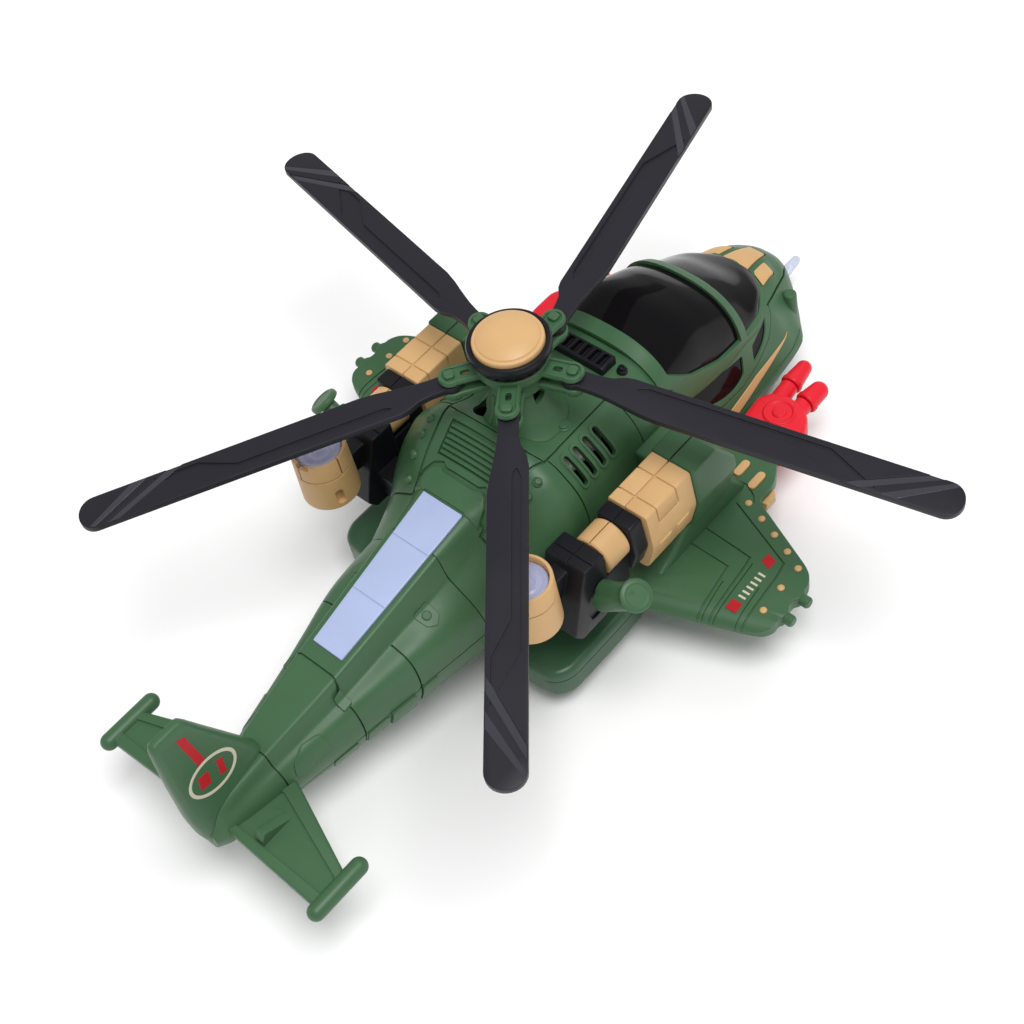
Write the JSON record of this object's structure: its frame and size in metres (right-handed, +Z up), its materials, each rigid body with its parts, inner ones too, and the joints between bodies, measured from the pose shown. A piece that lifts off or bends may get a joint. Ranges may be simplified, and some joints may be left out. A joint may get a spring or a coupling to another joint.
{
  "type": "toy attack helicopter",
  "caption": "Moulded toy attack helicopter with a hinged-blade rotor, smoked canopy, stub wings, side engines, red launchers, tail fin and a swivelling drive wheel unit.",
  "frame": {"origin": "on the flat belly face, directly under the rotor mast; the wheels reach 4 mm lower", "axes": "nose towards -Y, tail towards +Y, +Z up along the rotor mast, the pilot's right at -X"},
  "size_m": [0.3029, 0.339, 0.1182],
  "materials": {
    "green_plastic": "moulded, satin",
    "tan_plastic": "moulded, satin",
    "black_plastic": "moulded, satin",
    "smoked_plastic": "polished",
    "seat_plastic": "moulded",
    "steel": "plain",
    "pale_lens": "milky, satin",
    "clear_plastic": "milky clear",
    "red_plastic": "soft gloss",
    "cell_sleeve": "printed sleeve, plain",
    "brass_pinion": "plain",
    "nylon": "moulded",
    "board": "lacquered",
    "tyre_rubber": "matt"
  },
  "bodies": {
    "airframe": {"upper_body": "green_plastic", "lower_hull": "green_plastic", "tail_boom": "green_plastic", "tail_fin": "green_plastic", "stabiliser_left": "green_plastic", "stabiliser_right": "green_plastic", "canopy_frame": "green_plastic", "mast_shroud": "green_plastic", "wing_left": "green_plastic", "wing_right": "green_plastic", "stub_cap_left": "green_plastic", "stub_cap_right": "green_plastic", "battery_door": "green_plastic", "canopy_glass": "smoked_plastic", "cockpit_tub": "seat_plastic", "intake_block": "black_plastic", "antenna_knob": "black_plastic", "engine_yoke_left": "black_plastic", "engine_yoke_right": "black_plastic", "gearbox": "black_plastic", "speaker": "black_plastic", "wing_insert_left": "tan_plastic", "wing_insert_right": "tan_plastic", "nacelle_left": "tan_plastic", "nacelle_right": "tan_plastic", "engine_sleeve_left": "tan_plastic", "engine_sleeve_right": "tan_plastic", "thruster_barrel_left": "tan_plastic", "thruster_barrel_right": "tan_plastic", "motor": "steel", "spine_light_lens": "pale_lens", "thruster_lens_left": "clear_plastic", "thruster_lens_right": "clear_plastic", "nose_gun": "clear_plastic", "launcher_left": "red_plastic", "launcher_right": "red_plastic", "battery_1": "cell_sleeve", "battery_2": "cell_sleeve", "battery_3": "cell_sleeve", "circuit_board": "board"},
    "rotor": {"hub_lower": "green_plastic", "hub_upper": "green_plastic", "rotor_ring": "black_plastic", "rotor_cap": "tan_plastic", "rotor_shaft": "steel", "rotor_gear": "nylon"},
    "blade_a": {"blade_1": "black_plastic"},
    "blade_b": {"blade_2": "black_plastic"},
    "blade_c": {"blade_3": "black_plastic"},
    "blade_d": {"blade_4": "black_plastic"},
    "blade_e": {"blade_5": "black_plastic"},
    "pinion": {"motor_pinion": "brass_pinion"},
    "missile_inner_left": {"missile_2_left": "red_plastic"},
    "missile_inner_right": {"missile_2_right": "red_plastic"},
    "missile_outer_left": {"missile_1_left": "red_plastic"},
    "missile_outer_right": {"missile_1_right": "red_plastic"},
    "swivel": {"turntable": "black_plastic"},
    "front_wheels": {"drive_wheelset": "tyre_rubber"},
    "rear_wheels": {"rear_wheelset": "tyre_rubber"},
    "switch": {"switch_slider": "black_plastic"}
  },
  "joints": [
    {"name": "rotor_spin", "type": "hinge", "parent": "airframe", "child": "rotor", "pos_m": [0, 0, 0.1], "axis": [0, 0, 1], "continuous": true},
    {"name": "blade_a_hinge", "type": "hinge", "parent": "rotor", "child": "blade_a", "pos_m": [0.01263, 0.01777, 0.0968], "axis": [0, 0, 1], "range_deg": [-22.3, 17.7]},
    {"name": "blade_b_hinge", "type": "hinge", "parent": "rotor", "child": "blade_b", "pos_m": [0.0208, -0.00652, 0.0968], "axis": [0, 0, 1], "range_deg": [-23.7, 16.3]},
    {"name": "blade_c_hinge", "type": "hinge", "parent": "rotor", "child": "blade_c", "pos_m": [0.00023, -0.0218, 0.0968], "axis": [0, 0, 1], "range_deg": [-35.5, 4.5]},
    {"name": "blade_d_hinge", "type": "hinge", "parent": "rotor", "child": "blade_d", "pos_m": [-0.02066, -0.00695, 0.0968], "axis": [0, 0, 1], "range_deg": [-16.7, 23.3]},
    {"name": "blade_e_hinge", "type": "hinge", "parent": "rotor", "child": "blade_e", "pos_m": [-0.013, 0.0175, 0.0968], "axis": [0, 0, 1], "range_deg": [-23.7, 16.3]},
    {"name": "pinion_spin", "type": "hinge", "parent": "airframe", "child": "pinion", "pos_m": [0, -0.02, 0.06], "axis": [0, 0, 1], "continuous": true},
    {"name": "missile_outer_left_slide", "type": "slide", "parent": "airframe", "child": "missile_outer_left", "axis": [0.0637, -0.998, 0], "range_m": [0, 0.012]},
    {"name": "missile_outer_right_slide", "type": "slide", "parent": "airframe", "child": "missile_outer_right", "axis": [-0.0637, -0.998, 0], "range_m": [0, 0.012]},
    {"name": "missile_inner_left_slide", "type": "slide", "parent": "airframe", "child": "missile_inner_left", "axis": [-0.0871, -0.9962, 0], "range_m": [0, 0.012]},
    {"name": "missile_inner_right_slide", "type": "slide", "parent": "airframe", "child": "missile_inner_right", "axis": [0.0871, -0.9962, 0], "range_m": [0, 0.012]},
    {"name": "swivel_turn", "type": "hinge", "parent": "airframe", "child": "swivel", "pos_m": [0, -0.084, 0.004], "axis": [0, 0, 1], "continuous": true},
    {"name": "front_wheel_roll", "type": "hinge", "parent": "swivel", "child": "front_wheels", "pos_m": [0, -0.084, 0.004], "axis": [1, 0, 0], "continuous": true},
    {"name": "rear_wheel_roll", "type": "hinge", "parent": "airframe", "child": "rear_wheels", "pos_m": [0, 0.044, 0.004], "axis": [1, 0, 0], "continuous": true},
    {"name": "switch_slide", "type": "slide", "parent": "airframe", "child": "switch", "axis": [0, -1, 0], "range_m": [0, 0.003]}
  ],
  "couplings": [
    {"joint": "pinion_spin", "follows": "rotor_spin", "ratio": -4}
  ]
}
